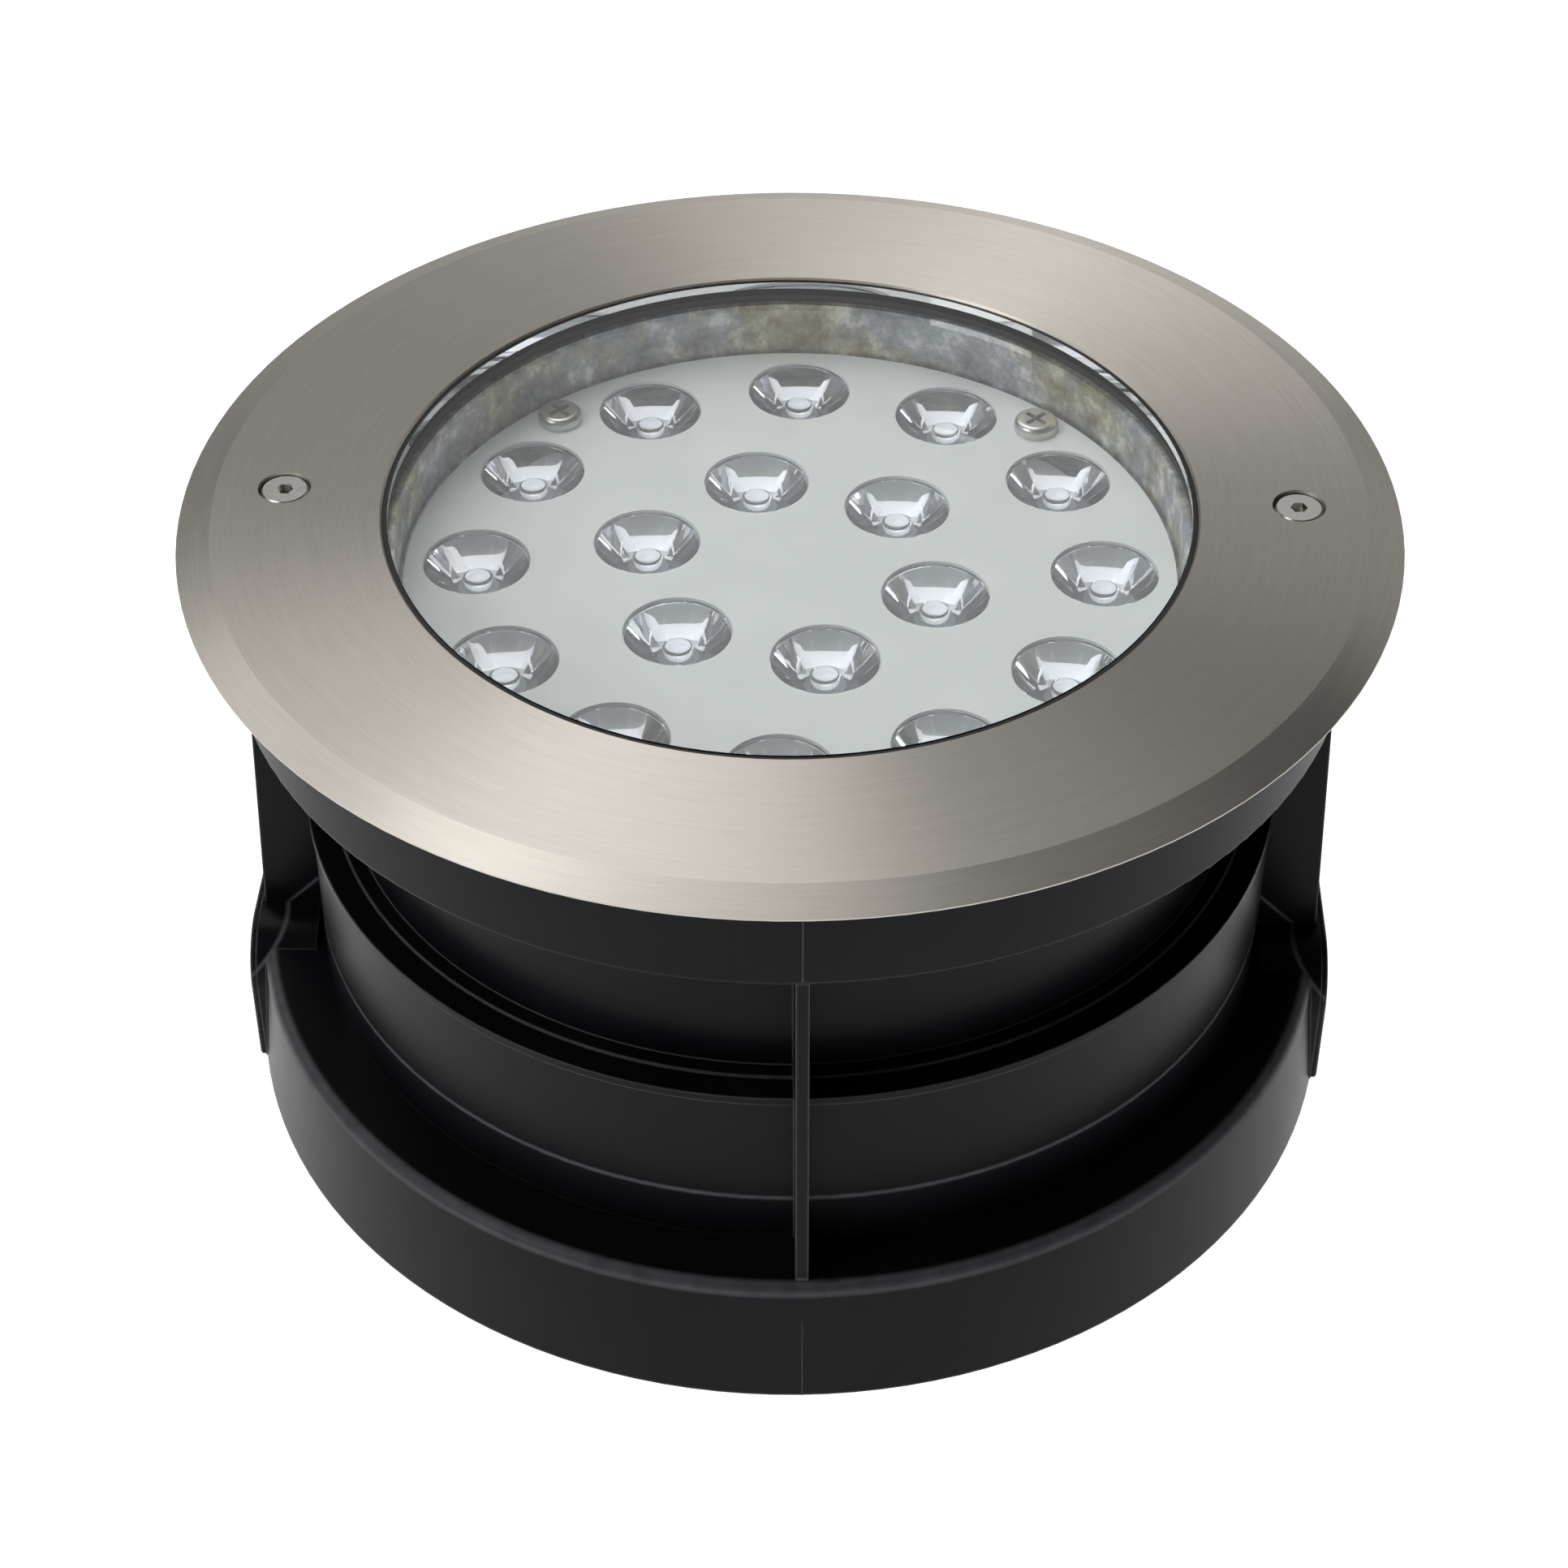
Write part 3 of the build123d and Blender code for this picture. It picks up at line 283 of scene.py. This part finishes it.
def make_light(name, azimuth, elevation, watts):
    """A square softbox aimed at the object."""
    data = bpy.data.lights.new(name, "AREA")
    data.shape = "SQUARE"
    data.size = LIGHT_SIZE
    data.energy = watts
    light = bpy.data.objects.new(name, data)
    scene.collection.objects.link(light)
    out, _ = directions(azimuth)
    rise = math.radians(elevation)
    towards = out * math.cos(rise) + Vector((0, 0, math.sin(rise)))
    light.location = LIGHT_AIM + towards * LIGHT_DISTANCE
    light.rotation_mode = "QUATERNION"
    light.rotation_quaternion = towards.to_track_quat("Z", "Y")


def make_world():
    """A plain white backdrop. What it lights sees white walls that fade to a dark ceiling."""
    world = bpy.data.worlds.new("studio")
    world.use_nodes = True
    n = Nodes(world)
    toward = n.add("ShaderNodeTexCoord").outputs["Generated"]
    height = n.add("ShaderNodeSeparateXYZ", Vector=toward).outputs["Z"]
    low, high = WALL_TOP
    walls = n.add(
        "ShaderNodeMapRange",
        Value=height, From_Min=low, From_Max=high, To_Min=WALL_LIGHT, To_Max=CEILING_LIGHT,
    ).outputs["Result"]
    seen = n.add("ShaderNodeLightPath").outputs["Is Camera Ray"]
    background = world.node_tree.nodes["Background"]
    put_all(background, Color=WHITE, Strength=n.math("MAXIMUM", walls, seen))
    scene.world = world


make_floor()
for light in LIGHTS:
    make_light(*light)
make_world()
scene.view_settings.view_transform = "Standard"

# ---------------------------------------------------------------- finishes

# Noise patterns: marks a metre, detail and roughness
STEEL_MARKS = (900.0, 4.0, 0.6)
SLEEVE_GRAIN = (2600.0, 2.0, 0.6)
SLEEVE_CLOUD = (30.0, 3.0, 0.5)
# Patches in which the sleeve's painted highlight is stronger or weaker
SLEEVE_HIGHLIGHT_PATCHES = (240.0, 3.0, 0.6)
CAST_MOTTLE = (170.0, 6.0, 0.72)
CAST_STAIN = (48.0, 4.0, 0.6)
CAST_GRAIN = (1800.0, 3.0, 0.6)
CAST_PITS = (700.0, 4.0, 0.7)
MOULD_CLOUD = (60.0, 3.0, 0.5)
MOULD_GRAIN = (2200.0, 2.0, 0.6)
PAINT_GRAIN = (1500.0, 2.0, 0.6)

# Brush marks: how many a radian round the ring and a metre across it, and their noise
FINE_LINES = (9.0, 5200.0)
FINE_PATTERN = (1.0, 3.0, 0.6)
FINE_SHARE = 0.7
BROAD_LINES = (3.0, 900.0)
BROAD_PATTERN = (1.0, 2.0, 0.5)
BRUSH_DEPTH = 0.006 * MM
RING_TONES = ((0.60, 0.565, 0.505), (0.70, 0.665, 0.605))
RING_ROUGHNESS = (0.36, 0.45)
RING_ANISOTROPY = 0.9
QUARTER_TURN = 0.25

STEEL_DARKER = 0.85
STEEL_ROUGHNESS = (0.7, 1.4)    # shares of the named roughness
STEEL_DEPTH = 0.02 * MM

SLEEVE_TONES = ((0.0040, 0.0040, 0.0056), (0.0070, 0.0070, 0.0092))
SLEEVE_ROUGHNESS = (0.28, 0.38)
SLEEVE_GLOSS = 0.09
SLEEVE_DEPTH = 0.012 * MM
# Painted highlight: a paler colour along the sleeve's sharp edges and the ledge's lip, standing
# in for the light that they catch
PAINTED_HIGHLIGHT_TONE = (0.145, 0.145, 0.158, 1)
PAINTED_HIGHLIGHT_SHARE = (0.35, 1.0)
EDGE_RADIUS = 0.7 * MM
EDGE_SAMPLES = 8
EDGE_GAIN = 5.0
# The lip's painted highlight runs as a band round the middle of the lip's round
LIP_RADIUS = 110.0 * MM         # middle of the round on the ledge's lip
LIP_HEIGHT = 25.5 * MM
LIP_REACH = 4.24 * MM           # from there to its face at 45 degrees, in radius plus height
LIP_LINE = LIP_RADIUS + LIP_HEIGHT + LIP_REACH
LIP_WIDTH = 0.8 * MM

CAST_METALLIC = 0.85
BARE_CAST = (
    (0.34, (0.22, 0.23, 0.26)),
    (0.52, (0.42, 0.44, 0.48)),
    (0.66, (0.80, 0.82, 0.84)),
)
STAINED_CAST = (
    (0.34, (0.22, 0.18, 0.10)),
    (0.52, (0.46, 0.42, 0.28)),
    (0.66, (0.82, 0.78, 0.62)),
)
STAIN_EDGES = ((0.42, (0, 0, 0)), (0.60, (0.9, 0.9, 0.9)))
CAST_ROUGHNESS = (0.34, 0.60)
PIT_DEPTH = 0.08 * MM
CAST_DEPTH = 0.04 * MM

MOULD_PLAY = 0.06               # of the roughness, either way
MOULD_DEPTH = 0.02 * MM

GLASS_TINT = (0.975, 0.99, 0.985, 1)
GLASS_IOR = 1.5
ACRYLIC_TINT = (0.94, 0.96, 1.0, 1)
ACRYLIC_IOR = 1.49
ACRYLIC_CLEARNESS = 0.97
HOLDER_PAINTED_GLOW = 0.55              # painted glow: the lens holders give off light though they are no lamp, to brighten the streaks seen in the lenses


def ring_steel():
    """Stainless brushed round the ring."""
    made, shader = material("ring_steel")
    n = Nodes(made)
    fine = n.noise(FINE_PATTERN, n.round_lines(*FINE_LINES))
    broad = n.noise(BROAD_PATTERN, n.round_lines(*BROAD_LINES))
    mixed = n.math(
        "ADD", n.math("MULTIPLY", fine, FINE_SHARE), n.math("MULTIPLY", broad, 1 - FINE_SHARE)
    )
    # The radial tangent runs along the brush marks, and the gloss spreads square to them
    tangent = n.add("ShaderNodeTangent")
    tangent.direction_type = "RADIAL"
    tangent.axis = "Z"
    put_all(
        shader,
        Metallic=1.0,
        Anisotropic=RING_ANISOTROPY,
        Anisotropic_Rotation=QUARTER_TURN,
        Base_Color=n.tones(mixed, *RING_TONES),
        Roughness=n.spread(mixed, *RING_ROUGHNESS),
        Normal=n.bump(fine, BRUSH_DEPTH),
        Tangent=tangent.outputs[0],
    )
    return made


def plain_steel(name, tone, roughness):
    """Bright fastener metal with faint handling marks."""
    made, shader = material(name)
    n = Nodes(made)
    marks = n.noise(STEEL_MARKS)
    put_all(
        shader,
        Metallic=1.0,
        Base_Color=n.tones(marks, [c * STEEL_DARKER for c in tone], tone),
        Roughness=n.spread(marks, *(roughness * share for share in STEEL_ROUGHNESS)),
        Normal=n.bump(marks, STEEL_DEPTH),
    )
    return made


def soft_edges_and_highlight_places(n):
    """The normal softened over sharp edges, and how near an edge is, from 0 to 1, which places
    the sleeve's painted highlight.
    """
    soft = n.add("ShaderNodeBevel", Radius=EDGE_RADIUS)
    soft.samples = EDGE_SAMPLES
    flat = n.add("ShaderNodeNewGeometry")
    match = n.vector_math("DOT_PRODUCT", soft.outputs["Normal"], flat.outputs["Normal"])
    bend = n.math("SUBTRACT", 1.0, match.outputs["Value"])
    nearness = n.math("MINIMUM", n.math("MULTIPLY", bend, EDGE_GAIN), 1.0)
    return soft.outputs["Normal"], nearness


def lip_highlight_band(n):
    """How near the middle of the ledge lip's round is, from 0 to 1: where a painted highlight
    runs along the lip.
    """
    _, radius, height = n.polar()
    along = n.math("SUBTRACT", n.math("ADD", radius, height), LIP_LINE)
    share = n.math("MULTIPLY", n.math("ABSOLUTE", along), 1 / LIP_WIDTH)
    return n.math("MAXIMUM", n.math("SUBTRACT", 1.0, share), 0.0)


def sleeve_plastic():
    """Satin black moulded plastic with a fine spark-eroded grain, and a painted highlight: a
    paler colour along its sharp edges and the ledge's lip.
    """
    made, shader = material("sleeve_plastic")
    n = Nodes(made)
    cloud = n.noise(SLEEVE_CLOUD)
    soft, edge = soft_edges_and_highlight_places(n)
    # Painted highlight: the sharp edges and the lip's round get a paler colour, standing in for
    # the light that they catch
    highlight_places = n.math("MAXIMUM", edge, lip_highlight_band(n))
    painted_highlight = n.math("MULTIPLY", highlight_places, n.spread(n.noise(SLEEVE_HIGHLIGHT_PATCHES), *PAINTED_HIGHLIGHT_SHARE))
    put_all(
        shader,
        Base_Color=n.mix(painted_highlight, n.tones(cloud, *SLEEVE_TONES), PAINTED_HIGHLIGHT_TONE),
        Roughness=n.spread(cloud, *SLEEVE_ROUGHNESS),
        Specular_IOR_Level=SLEEVE_GLOSS,
        Normal=n.bump(n.noise(SLEEVE_GRAIN), SLEEVE_DEPTH, Normal=soft),
    )
    return made


def clear(name, tint, ior, clearness=1.0):
    """Clear glass or acrylic that lamps shine through too. What isn't clear is a white haze."""
    made, shader = material(name)
    n = Nodes(made)
    put_all(shader, Base_Color=tint, Roughness=0.0, IOR=ior, Transmission_Weight=clearness)
    film = n.add("ShaderNodeBsdfTransparent", Color=tint)
    path = n.add("ShaderNodeLightPath")
    mix = n.add("ShaderNodeMixShader")
    for index, output in enumerate(
        (path.outputs["Is Shadow Ray"], shader.outputs[0], film.outputs[0])
    ):
        put(mix, index, output)
    put_all(made.node_tree.nodes["Material Output"], Surface=mix.outputs[0])
    return made


def cast_aluminium():
    """Bare die casting: mottled, stained by the die's release film, with a fine grain."""
    made, shader = material("cast_aluminium")
    n = Nodes(made)
    mottle = n.noise(CAST_MOTTLE)
    pits = n.noise(CAST_PITS)
    stained = n.ramp(n.noise(CAST_STAIN), *STAIN_EDGES)
    grain = n.bump(n.noise(CAST_GRAIN), CAST_DEPTH)
    put_all(
        shader,
        Metallic=CAST_METALLIC,
        Base_Color=n.mix(stained, n.ramp(mottle, *BARE_CAST), n.ramp(mottle, *STAINED_CAST)),
        Roughness=n.spread(pits, *CAST_ROUGHNESS),
        Normal=n.bump(pits, PIT_DEPTH, Normal=grain),
    )
    return made


def moulded(name, low, high, roughness, grain=MOULD_GRAIN, painted_glow=0.0):
    """A plain moulded or painted surface with a soft cloud and a fine grain, and a painted glow
    if one is given.
    """
    made, shader = material(name)
    n = Nodes(made)
    cloud = n.noise(MOULD_CLOUD)
    put_all(
        shader,
        Base_Color=n.tones(cloud, low, high),
        Roughness=n.spread(cloud, roughness - MOULD_PLAY, roughness + MOULD_PLAY),
        Normal=n.bump(n.noise(grain), MOULD_DEPTH),
    )
    # A painted glow: the surface gives off light though it is no lamp
    if painted_glow:
        put_all(shader, Emission_Color=WHITE, Emission_Strength=painted_glow)
    return made


finishes = {
    "ring_steel": ring_steel(),
    "sleeve_plastic": sleeve_plastic(),
    "cast_aluminium": cast_aluminium(),
    "front_glass": clear("front_glass", GLASS_TINT, GLASS_IOR),
    "lens_acrylic": clear("lens_acrylic", ACRYLIC_TINT, ACRYLIC_IOR, ACRYLIC_CLEARNESS),
    "plate_paint": moulded(
        "plate_paint", (0.68, 0.705, 0.705), (0.74, 0.762, 0.76), 0.5, PAINT_GRAIN
    ),
}
for name, tone, roughness in (
    ("screw_steel", (0.70, 0.68, 0.64), 0.24),
    ("fastener_steel", (0.66, 0.65, 0.62), 0.30),
    ("insert_brass", (0.78, 0.60, 0.30), 0.30),
    ("bracket_aluminium", (0.72, 0.72, 0.72), 0.38),
):
    finishes[name] = plain_steel(name, tone, roughness)
for name, low, high, roughness in (
    ("board_white", (0.74, 0.75, 0.72), (0.80, 0.81, 0.78), 0.4),
    ("emitter_phosphor", (0.85, 0.70, 0.16), (0.92, 0.80, 0.25), 0.35),
    ("pad_rubber", (0.22, 0.27, 0.32), (0.26, 0.31, 0.36), 0.7),
    ("seal_rubber", (0.012, 0.012, 0.012), (0.02, 0.02, 0.02), 0.55),
    ("gland_plastic", (0.014, 0.014, 0.015), (0.024, 0.024, 0.026), 0.42),
    ("driver_case", (0.62, 0.62, 0.59), (0.68, 0.68, 0.65), 0.5),
    ("terminal_plastic", (0.68, 0.68, 0.64), (0.75, 0.75, 0.71), 0.45),
    ("lead_insulation", (0.30, 0.02, 0.016), (0.38, 0.03, 0.02), 0.45),
):
    finishes[name] = moulded(name, low, high, roughness)
for part in frame["record"]["subparts"]:
    for place in nodes[part["node"]].material_slots:
        place.material = finishes[part["material_slot"]]
# The lens holders' white plastic, with a painted glow that brightens the streaks seen in the
# lenses
holder_white = moulded(
    "holder_white", (0.90, 0.90, 0.90), (0.96, 0.96, 0.96), 0.3, painted_glow=HOLDER_PAINTED_GLOW
)

# ---------------------------------------------------------------- forms

SHARP_EDGE = math.radians(35)


def piece(name, form, body, made):
    """A new object from a bmesh form, riding on a body, smooth but for its sharp edges."""
    bmesh.ops.recalc_face_normals(form, faces=form.faces)
    for face in form.faces:
        face.smooth = True
    for edge in form.edges:
        edge.smooth = len(edge.link_faces) == 2 and edge.calc_face_angle() < SHARP_EDGE
    mesh = bpy.data.meshes.new(name)
    form.to_mesh(mesh)
    form.free()
    mesh.materials.append(made)
    made_object = bpy.data.objects.new(name, mesh)
    scene.collection.objects.link(made_object)
    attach(made_object, body)
    return made_object


def turned(profile, centre, segments):
    """A closed turned form. The profile is (radius, height) points."""
    form = bmesh.new()
    rings = []
    for radius, height in profile:
        if radius == 0:
            rings.append([form.verts.new(centre + Vector((0, 0, height)))])
            continue
        ring = []
        for step in range(segments):
            turn = 2 * math.pi * step / segments
            point = Vector((radius * math.cos(turn), radius * math.sin(turn), height))
            ring.append(form.verts.new(centre + point))
        rings.append(ring)
    for first, second in zip(rings, rings[1:] + rings[:1]):
        if len(first) == 1 and len(second) == 1:
            continue
        for step in range(segments):
            ahead = (step + 1) % segments
            corners = [first[step % len(first)], first[ahead % len(first)]]
            corners += [second[ahead % len(second)], second[step % len(second)]]
            form.faces.new(list(dict.fromkeys(corners)))
    return form


def skin(form, sections):
    """Joins a row of sections, which are rings of corners, and closes both ends."""
    for first, second in zip(sections, sections[1:]):
        for corner in range(len(first)):
            ahead = (corner + 1) % len(first)
            form.faces.new((first[corner], first[ahead], second[ahead], second[corner]))
    form.faces.new(sections[0])
    form.faces.new(list(reversed(sections[-1])))


# ---------------------------------------------------------------- lenses and their holders

LENS_SEGMENTS = 72
LENS_FOOT = 4.1 * MM
LENS_POCKET = 3.0 * MM
LENS_POCKET_SIDE = 4.6 * MM
LENS_POCKET_CROWN = 3.4 * MM
CROWN_TURNS = (75, 60, 45, 30, 15, 0)
LENS_RIM = 1.6 * MM
LENS_RIM_STEP = 0.2 * MM
LENS_EDGE = 0.15 * MM
LENS_SWELL = 0.25 * MM          # how far the bowl swells from a straight cone
BOWL_STEPS = 12

HOLDER_SEGMENTS = 48
HOLDER_RING = 8.4 * MM
HOLDER_RING_INSIDE = 5.2 * MM
HOLDER_RING_HEIGHT = 1.0 * MM
HOLDER_GAP = 0.12 * MM          # between a leg and the bowl
LEG_THICKNESS = 0.8 * MM
LEG_HALF_WIDTH = 0.95 * MM
LEG_TAPER = 0.35                # share of the width that is gone at the top
LEG_AZIMUTHS = (52, 128, 232, 308)
LEG_SPAN = (0.14, 0.70)         # shares of the bowl's height
LEG_STEPS = 6


def bowl_radius(share, radius):
    """The bowl's radius at a share of its height."""
    cone = LENS_FOOT + (radius - LENS_RIM_STEP - LENS_FOOT) * share
    bulge = 4 * share * (1 - share)     # 1 halfway up and 0 at both ends
    return cone + LENS_SWELL * bulge


def lens_profile(radius, height):
    """A collimator's half section: pocket, foot, bowl, rim and flat face."""
    top_height = height - LENS_RIM
    shares = [step / BOWL_STEPS for step in range(1, BOWL_STEPS + 1)]
    turns = [math.radians(turn) for turn in CROWN_TURNS]
    rise = LENS_POCKET_SIDE - LENS_POCKET_CROWN
    return [
        (LENS_POCKET, 0),
        (LENS_FOOT, 0),
        *((bowl_radius(share, radius), top_height * share) for share in shares),
        (radius, top_height),
        (radius, height - LENS_EDGE),
        (radius - LENS_EDGE, height),
        (0, height),
        (0, LENS_POCKET_CROWN),
        *(
            (LENS_POCKET * math.cos(turn), LENS_POCKET_SIDE - rise * math.sin(turn))
            for turn in turns
        ),
    ]


def add_leg(form, centre, azimuth, radius, height):
    """A leg of the lens holder, which follows the bowl up from the ring."""
    out, side = directions(azimuth)
    low, high = LEG_SPAN
    sections = []
    for step in range(LEG_STEPS + 1):
        share = low + (high - low) * step / LEG_STEPS
        inner = bowl_radius(share, radius) + HOLDER_GAP
        up = Vector((0, 0, (height - LENS_RIM) * share))
        half_width = LEG_HALF_WIDTH * (1 - LEG_TAPER * step / LEG_STEPS)
        sections.append([
            form.verts.new(centre + up + out * (inner + depth) + side * across)
            for depth, across in (
                (0, -half_width),
                (0, half_width),
                (LEG_THICKNESS, half_width),
                (LEG_THICKNESS, -half_width),
            )
        ])
    skin(form, sections)


def make_lenses():
    """A collimator in place of each lens node, and its white holder, which has a painted glow.
    """
    ring = (
        (HOLDER_RING_INSIDE, 0),
        (HOLDER_RING, 0),
        (HOLDER_RING, HOLDER_RING_HEIGHT),
        (HOLDER_RING_INSIDE, HOLDER_RING_HEIGHT),
    )
    for name in [name for name in nodes if name.startswith("lens_")]:
        low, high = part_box(name)
        centre = Vector(((low.x + high.x) / 2, (low.y + high.y) / 2, low.z))
        radius, height = (high.x - low.x) / 2, high.z - low.z
        form = turned(lens_profile(radius, height), centre, LENS_SEGMENTS)
        lens_name = name.replace("lens", "collimator")
        lens = piece(lens_name, form, "lamp", finishes["lens_acrylic"])
        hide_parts(name)
        form = turned(ring, centre, HOLDER_SEGMENTS)
        for azimuth in LEG_AZIMUTHS:
            add_leg(form, centre, azimuth, radius, height)
        holder_name = name.replace("lens", "holder")
        piece(holder_name, form, "lamp", holder_white)


make_lenses()

# ---------------------------------------------------------------- mould lines

LINE_AZIMUTHS = {"front": -87, "back": 93}      # the mould parts in line with the ribs
LINE_HALF_WIDTH = 0.3 * MM
LINE_CREST_SHARE = 1 / 3
LINE_PROUD = 0.16 * MM
LINE_SUNK = 0.2 * MM
LINES = {                       # (radius, height) at the foot and top of each line
    "collar_line": ((111.5 * MM, 108.2 * MM), (111.5 * MM, 130.3 * MM)),
    "skirt_line": ((115.5 * MM, 0.1 * MM), (113.0 * MM, 25.6 * MM)),
}


def mould_line(azimuth, ends):
    """A low ridge with a narrow crest, its foot sunk in the wall."""
    out, side = directions(azimuth)
    crest_half_width = LINE_HALF_WIDTH * LINE_CREST_SHARE
    form = bmesh.new()
    sections = [
        [
            form.verts.new(out * (radius + proud) + side * across + Vector((0, 0, height)))
            for proud, across in (
                (-LINE_SUNK, -LINE_HALF_WIDTH),
                (LINE_PROUD, -crest_half_width),
                (LINE_PROUD, crest_half_width),
                (-LINE_SUNK, LINE_HALF_WIDTH),
            )
        ]
        for radius, height in ends
    ]
    skin(form, sections)
    return form


for half, azimuth in LINE_AZIMUTHS.items():
    for name, ends in LINES.items():
        form = mould_line(azimuth, ends)
        piece(f"{name}_{half}", form, "sleeve", finishes["sleeve_plastic"])

# ---------------------------------------------------------------- screw threads

THREAD_PITCH = 0.8 * MM
THREAD_PROUD = 0.16 * MM
THREAD_HALF_WIDTH = 0.36 * THREAD_PITCH
THREAD_STEPS = 28               # a turn
THREAD_LENGTH = 10.0 * MM
SHANK_RADIUS = 2.5 * MM
TIP_CHAMFER = 0.9 * MM


def thread(axis, low, high):
    """A thread's ridge wound round a plain shank, fading in and out over a turn."""
    form = bmesh.new()
    count = int((high - low) / THREAD_PITCH * THREAD_STEPS)
    root = SHANK_RADIUS - THREAD_PROUD / 2
    sections = []
    for step in range(count + 1):
        turn = 2 * math.pi * step / THREAD_STEPS
        middle = low + (high - low) * step / count
        out = Vector((math.cos(turn), math.sin(turn), 0))
        fade = min(1.0, step / THREAD_STEPS, (count - step) / THREAD_STEPS)
        crest = SHANK_RADIUS + THREAD_PROUD * fade
        sections.append([
            form.verts.new(Vector((axis.x, axis.y, height)) + out * reach)
            for reach, height in (
                (root, middle - THREAD_HALF_WIDTH),
                (crest, middle),
                (root, middle + THREAD_HALF_WIDTH),
            )
        ])
    skin(form, sections)
    return form


for screw in ("trim_screw_left", "trim_screw_right"):
    low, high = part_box(screw)
    foot = low.z + TIP_CHAMFER
    form = thread((low + high) / 2, foot, foot + THREAD_LENGTH)
    piece(f"{screw}_thread", form, screw, finishes["screw_steel"])
